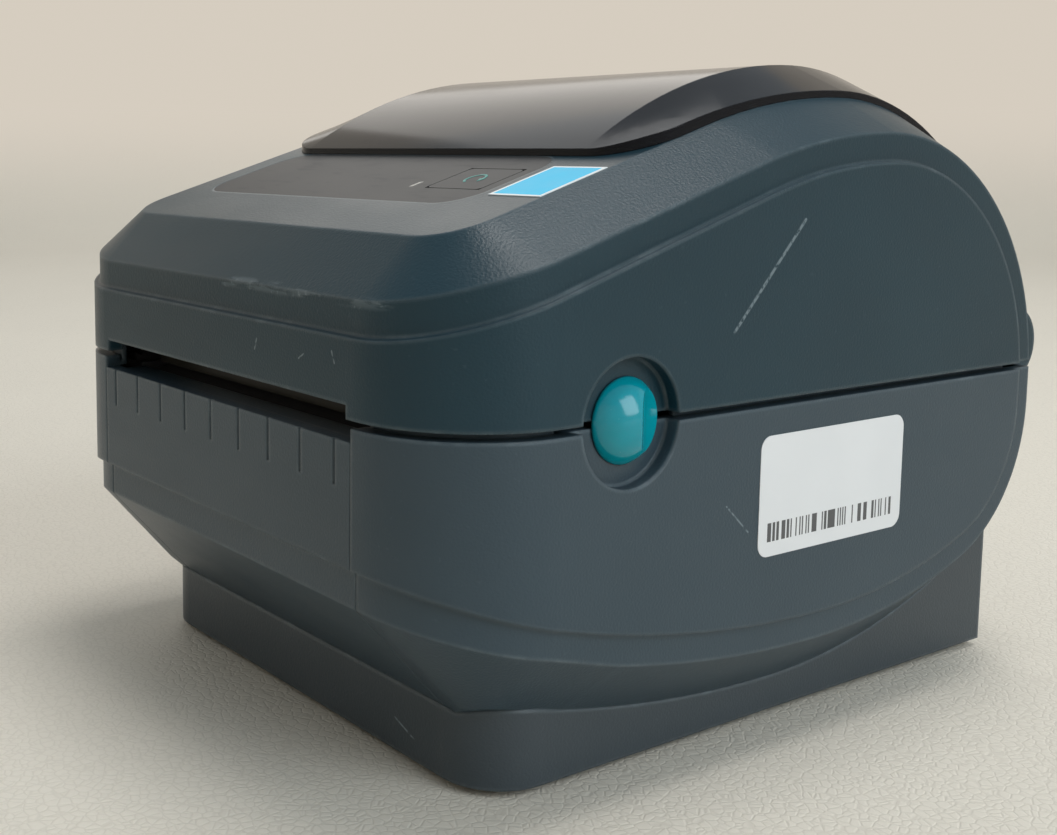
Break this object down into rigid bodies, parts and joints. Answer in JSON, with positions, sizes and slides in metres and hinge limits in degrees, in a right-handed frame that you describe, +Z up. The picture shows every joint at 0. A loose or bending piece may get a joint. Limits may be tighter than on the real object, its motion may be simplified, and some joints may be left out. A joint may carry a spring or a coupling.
{
  "type": "thermal label printer",
  "caption": "Desktop thermal label printer: rounded grey plastic body on a pedestal, hinged cover with smoked window, front label slot, side release latches, roll holders and platen drive.",
  "frame": {"origin": "under the middle of the printer, on the surface it stands on", "axes": "+X to the right of someone facing the label slot, +Y to the rear, +Z up"},
  "size_m": [0.175, 0.21, 0.1513],
  "materials": {
    "cover_plastic": "fine grained moulding, charcoal blue-grey",
    "housing_plastic": "fine grained moulding, charcoal grey",
    "tray_plastic": "fine grained moulding, charcoal grey",
    "window_plastic": "smoked and polished",
    "overlay_film": "satin film, near black",
    "latch_plastic": "polished teal",
    "inner_plastic": "plain moulding, dark grey",
    "bare_steel": "ground",
    "motor_steel": "satin",
    "platen_rubber": "ground rubber",
    "foot_rubber": "matte rubber",
    "gear_plastic": "natural off-white",
    "circuit_board": "green solder mask",
    "head_ceramic": "glazed",
    "sink_aluminium": "extruded",
    "socket_steel": "plated",
    "socket_plastic": "black moulding",
    "light_plastic": "milky clear",
    "blue_sticker": "printed film",
    "white_label": "coated paper"
  },
  "bodies": {
    "base": {"lower_housing": "housing_plastic", "front_bezel": "housing_plastic", "base_tray": "tray_plastic", "rubber_feet": "foot_rubber", "main_board": "circuit_board", "inlet_port": "socket_plastic", "usb_port": "socket_steel", "network_port": "socket_steel", "switch_frame": "socket_plastic", "hinge_pins": "bare_steel", "latch_pins": "bare_steel", "latch_springs": "bare_steel", "media_well": "inner_plastic", "lower_sensor": "socket_plastic", "platen_bearing_right": "gear_plastic", "platen_bearing_left": "gear_plastic", "motor_plate": "bare_steel", "idler_stud": "bare_steel", "stepper_motor": "motor_steel", "rack_stud": "bare_steel", "side_label": "white_label"},
    "cover": {"top_cover": "cover_plastic", "cover_window": "window_plastic", "control_overlay": "overlay_film", "light_pipe": "light_plastic", "square_sticker": "blue_sticker", "button_board": "circuit_board", "catch_pins": "bare_steel", "head_frame": "inner_plastic", "upper_sensor": "socket_plastic", "tear_bar": "bare_steel"},
    "feed_key": {"feed_button": "overlay_film"},
    "head_unit": {"printhead": "head_ceramic", "heat_sink": "sink_aluminium", "head_springs": "bare_steel"},
    "latch_right": {"latch_lever_right": "inner_plastic", "latch_button_right": "latch_plastic"},
    "latch_left": {"latch_lever_left": "inner_plastic", "latch_button_left": "latch_plastic"},
    "switch_rocker": {"power_rocker": "socket_plastic"},
    "platen": {"platen_shaft": "bare_steel", "platen_rubber": "platen_rubber", "platen_gear": "gear_plastic"},
    "idler": {"idler_gear": "gear_plastic"},
    "motor_drive": {"motor_pinion": "gear_plastic", "motor_shaft": "bare_steel"},
    "holder_right": {"roll_holder_right": "inner_plastic"},
    "holder_left": {"roll_holder_left": "inner_plastic"},
    "holder_gear": {"rack_pinion": "gear_plastic"}
  },
  "joints": [
    {"name": "cover_hinge", "type": "hinge", "parent": "base", "child": "cover", "pos_m": [0, 0.0955, 0.081], "axis": [-1, 0, 0], "range_deg": [0, 85]},
    {"name": "feed_press", "type": "slide", "parent": "cover", "child": "feed_key", "axis": [0, 0.3024, -0.9532], "range_m": [0, 0.0008], "stiffness_N_per_m": 1500, "springref_m": -0.0005},
    {"name": "head_float", "type": "slide", "parent": "cover", "child": "head_unit", "axis": [0, 0, 1], "range_m": [0, 0.001], "stiffness_N_per_m": 5000, "springref_m": -0.002},
    {"name": "latch_right_pivot", "type": "hinge", "parent": "base", "child": "latch_right", "pos_m": [0.0773, -0.0579, 0.0504], "axis": [1, 0, 0], "range_deg": [0, 5], "stiffness_Nm_per_rad": 1, "springref_deg": -2.86},
    {"name": "latch_left_pivot", "type": "hinge", "parent": "base", "child": "latch_left", "pos_m": [-0.0773, -0.0579, 0.0504], "axis": [1, 0, 0], "range_deg": [0, 5], "stiffness_Nm_per_rad": 1, "springref_deg": -2.86},
    {"name": "switch_tilt", "type": "hinge", "parent": "base", "child": "switch_rocker", "pos_m": [0.054, 0.083, 0.0182], "axis": [1, 0, 0], "range_deg": [-16, 0]},
    {"name": "platen_spin", "type": "hinge", "parent": "base", "child": "platen", "pos_m": [0, -0.087, 0.0685], "axis": [1, 0, 0], "continuous": true},
    {"name": "idler_spin", "type": "hinge", "parent": "base", "child": "idler", "pos_m": [0, -0.07106, 0.0495], "axis": [1, 0, 0], "continuous": true},
    {"name": "motor_spin", "type": "hinge", "parent": "base", "child": "motor_drive", "pos_m": [0, -0.05748, 0.03593], "axis": [1, 0, 0], "continuous": true},
    {"name": "holder_right_slide", "type": "slide", "parent": "base", "child": "holder_right", "axis": [1, 0, 0], "range_m": [-0.024, 0.02]},
    {"name": "holder_left_slide", "type": "slide", "parent": "base", "child": "holder_left", "axis": [-1, 0, 0], "range_m": [-0.024, 0.02]},
    {"name": "holder_gear_spin", "type": "hinge", "parent": "base", "child": "holder_gear", "pos_m": [0, -0.012, 0.0081], "axis": [0, 0, 1], "range_deg": [-200, 168]}
  ],
  "couplings": [
    {"joint": "idler_spin", "follows": "platen_spin", "ratio": -0.72222},
    {"joint": "motor_spin", "follows": "platen_spin", "ratio": 2.1667},
    {"joint": "holder_left_slide", "follows": "holder_right_slide", "ratio": 1},
    {"joint": "holder_gear_spin", "follows": "holder_right_slide", "rad_per_m": 142.86}
  ]
}
